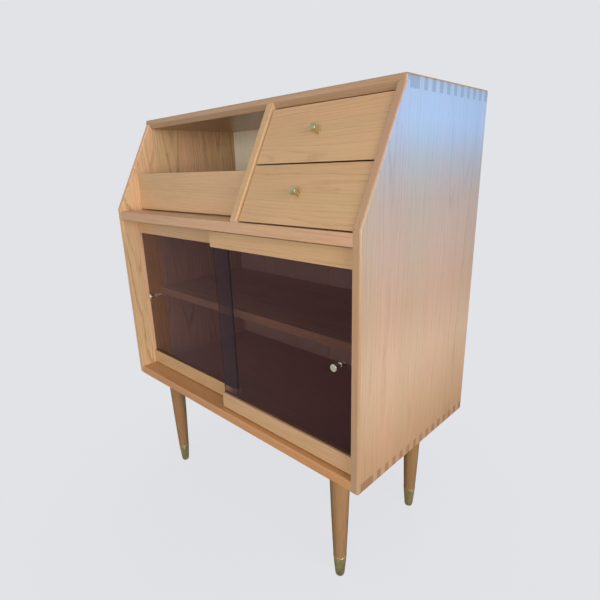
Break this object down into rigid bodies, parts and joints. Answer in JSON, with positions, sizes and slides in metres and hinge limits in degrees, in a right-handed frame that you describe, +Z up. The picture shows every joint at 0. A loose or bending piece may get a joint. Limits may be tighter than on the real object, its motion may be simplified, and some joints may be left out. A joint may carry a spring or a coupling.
{
  "type": "storage cabinet",
  "caption": "Oak cabinet on turned brass-tipped legs, with a slanted upper front holding an open cubby and drawers above a cupboard with sliding smoked glass doors.",
  "frame": {"origin": "on the floor under the middle of the carcass", "axes": "+Z up, front faces -Y, +X to the right seen from the front"},
  "size_m": [0.8, 0.415, 0.998],
  "materials": {
    "oak": "satin lacquer",
    "leg_oak": "satin lacquer",
    "back_oak": "satin lacquer",
    "plywood": "satin lacquer",
    "smoked_glass": "polished, smoked",
    "brass": "brushed",
    "steel": "zinc plated",
    "nylon": "matt"
  },
  "bodies": {
    "carcass": {"back_board_1": "back_oak", "back_board_2": "back_oak", "back_board_3": "back_oak", "back_board_4": "back_oak", "back_board_5": "back_oak", "back_board_6": "back_oak", "back_screws": "steel", "bottom_board": "oak", "cubby_board": "oak", "cubby_board_dowels": "oak", "deck_board": "oak", "divider": "oak", "door_guides": "nylon", "drawer_runners": "oak", "drawer_stops": "oak", "foot_cup_front_left": "brass", "foot_cup_front_right": "brass", "foot_cup_rear_left": "brass", "foot_cup_rear_right": "brass", "leg_bolts": "steel", "leg_front_left": "leg_oak", "leg_front_right": "leg_oak", "leg_rear_left": "leg_oak", "leg_rear_right": "leg_oak", "runner_screws": "steel", "shelf": "oak", "shelf_pins": "brass", "side_panel_left": "oak", "side_panel_right": "oak", "top_board": "oak"},
    "right_door": {"right_door_bottom_rail": "oak", "right_door_glass": "smoked_glass", "right_door_glides": "nylon", "right_door_knob": "brass", "right_door_knob_screw": "steel", "right_door_top_rail": "oak"},
    "left_door": {"left_door_bottom_rail": "oak", "left_door_glass": "smoked_glass", "left_door_glides": "nylon", "left_door_knob": "brass", "left_door_knob_screw": "steel", "left_door_top_rail": "oak"},
    "lower_drawer": {"lower_drawer_back": "oak", "lower_drawer_bottom": "plywood", "lower_drawer_front": "oak", "lower_drawer_knob": "brass", "lower_drawer_knob_screw": "steel", "lower_drawer_left_side": "oak", "lower_drawer_right_side": "oak"},
    "upper_drawer": {"upper_drawer_back": "oak", "upper_drawer_bottom": "plywood", "upper_drawer_front": "oak", "upper_drawer_knob": "brass", "upper_drawer_knob_screw": "steel", "upper_drawer_left_side": "oak", "upper_drawer_right_side": "oak"}
  },
  "joints": [
    {"name": "right_door_slide", "type": "slide", "parent": "carcass", "child": "right_door", "axis": [1, 0, 0], "range_m": [-0.373, 0]},
    {"name": "left_door_slide", "type": "slide", "parent": "carcass", "child": "left_door", "axis": [1, 0, 0], "range_m": [0, 0.373]},
    {"name": "lower_drawer_slide", "type": "slide", "parent": "carcass", "child": "lower_drawer", "axis": [0, -1, 0], "range_m": [0, 0.22]},
    {"name": "upper_drawer_slide", "type": "slide", "parent": "carcass", "child": "upper_drawer", "axis": [0, -1, 0], "range_m": [0, 0.18]}
  ]
}
